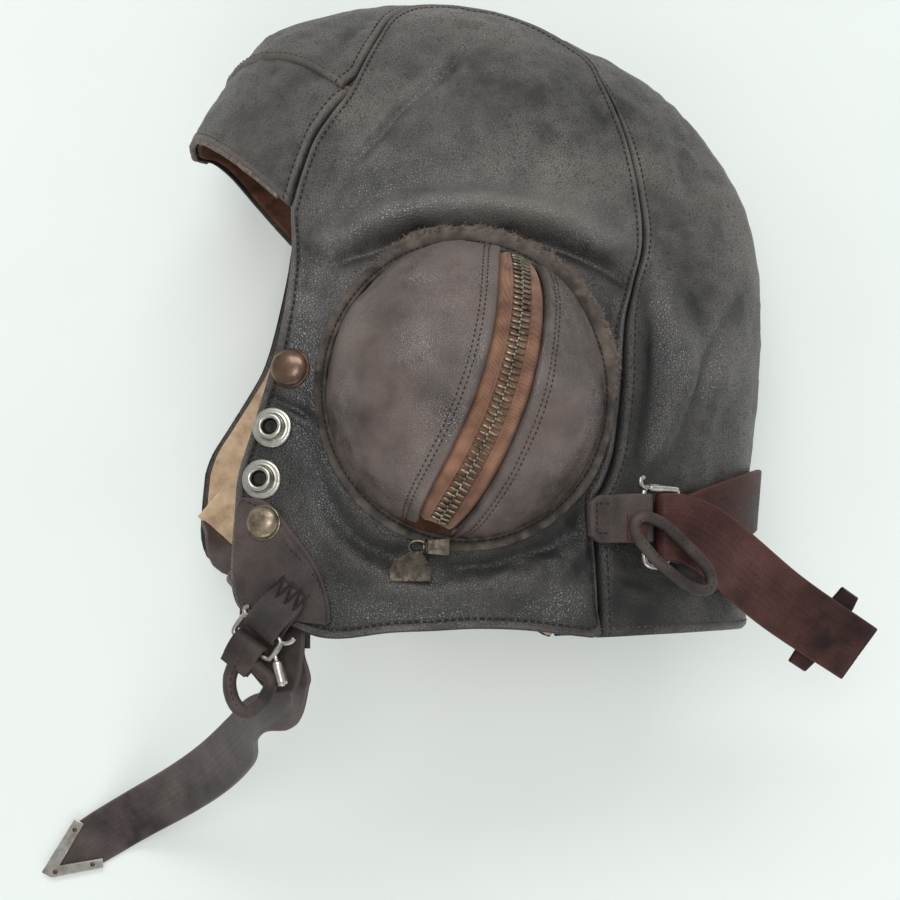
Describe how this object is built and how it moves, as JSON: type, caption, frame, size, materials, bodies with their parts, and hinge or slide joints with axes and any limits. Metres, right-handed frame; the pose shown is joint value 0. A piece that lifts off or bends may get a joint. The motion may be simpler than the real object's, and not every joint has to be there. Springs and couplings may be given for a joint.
{
  "type": "leather flying helmet",
  "caption": "Soft leather flying helmet lying on its side, with domed zipped ear pockets, press-stud fittings, a chin strap with a metal tip and a nape strap.",
  "frame": {"origin": "point on the surface that it lies on, under the flattened front half of the right ear pocket", "axes": "+Z from the right ear side up to the left ear side, +Y towards the crown, -X towards the face, +X towards the nape"},
  "size_m": [0.3448, 0.3687, 0.1825],
  "materials": {
    "shell_leather": "worn, pebbled, soft sheen",
    "dome_leather": "worn, smooth",
    "strap_leather": "worn, ribbed",
    "nap_lining": "napped velvet, mottled",
    "chamois_lining": "chamois, matt",
    "zip_tape": "woven, faded",
    "dark_brass": "aged",
    "nickel": "worn",
    "cap_enamel": "chipped brown enamel"
  },
  "bodies": {
    "root": {"brow_panel": "shell_leather", "crown_gore": "shell_leather", "crown_lining": "nap_lining", "left_side_panel": "shell_leather", "left_side_lining": "chamois_lining", "left_ear_ring": "shell_leather", "right_side_panel": "shell_leather", "right_side_lining": "chamois_lining", "right_ear_ring": "shell_leather", "left_ear_dome_front": "dome_leather", "left_ear_dome_rear": "dome_leather", "left_zip_tape": "zip_tape", "left_zip_teeth": "dark_brass", "right_ear_dome_front": "dome_leather", "right_ear_dome_rear": "dome_leather", "right_zip_tape": "zip_tape", "right_zip_teeth": "dark_brass", "left_flap_patch": "shell_leather", "left_cap_upper": "cap_enamel", "left_stud_upper": "nickel", "left_stud_lower": "nickel", "left_cap_lower": "cap_enamel", "right_flap_patch": "shell_leather", "right_cap_upper": "cap_enamel", "right_stud_upper": "nickel", "right_stud_lower": "nickel", "right_cap_lower": "cap_enamel", "left_zip_slider": "dark_brass", "left_zip_pull": "dark_brass", "right_zip_slider": "dark_brass", "right_zip_pull": "dark_brass", "chin_tab": "shell_leather", "chin_buckle": "nickel", "chin_roller": "nickel", "chin_pull_loop": "strap_leather", "chin_backing": "shell_leather", "chin_keeper": "strap_leather", "chin_strap": "strap_leather", "chin_strap_tip": "nickel", "nape_tab": "shell_leather", "nape_buckle": "nickel", "nape_pull_loop": "strap_leather", "nape_strap": "strap_leather", "nape_strap_stop": "strap_leather", "right_nape_tab": "shell_leather"}
  },
  "joints": []
}
